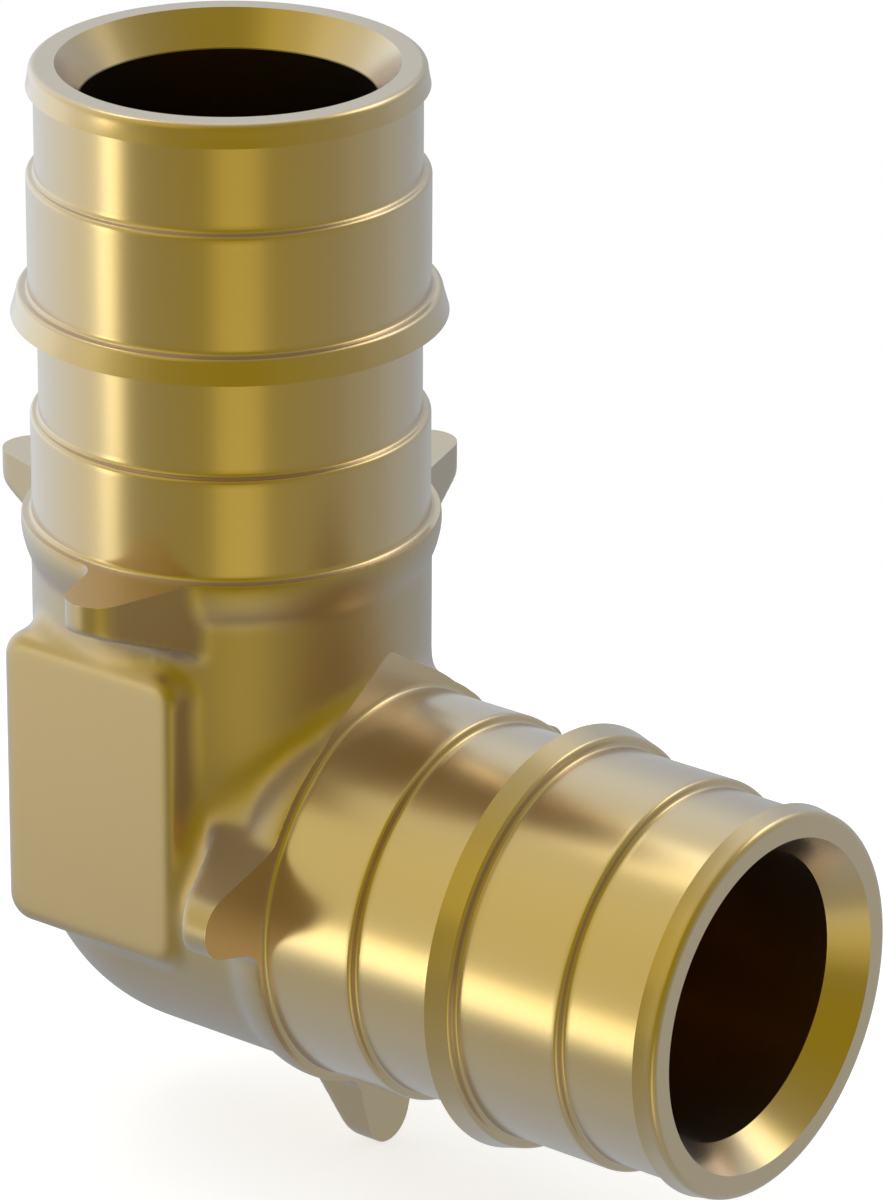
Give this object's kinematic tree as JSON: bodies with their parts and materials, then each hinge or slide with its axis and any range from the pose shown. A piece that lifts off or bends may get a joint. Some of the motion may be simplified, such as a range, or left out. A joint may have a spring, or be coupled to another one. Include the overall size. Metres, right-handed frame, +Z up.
{
  "type": "pex expansion elbow",
  "caption": "Right-angle brass elbow for expanded plastic tube: barbed round spigots of unequal length, bevelled mouths, stop collars with lugs, and flat pads on the bend.",
  "frame": {"origin": "crossing of the axes of the upright and the level leg, inside the bend", "axes": "+Z up the upright leg to its mouth, +X along the level leg to its mouth, Y across the pads"},
  "size_m": [0.0634, 0.0386, 0.0736],
  "materials": {
    "forged_brass": "turned lands in soft satin, bend and pads as forged and blasted"
  },
  "bodies": {
    "root": {"elbow_body": "forged_brass"}
  },
  "joints": []
}
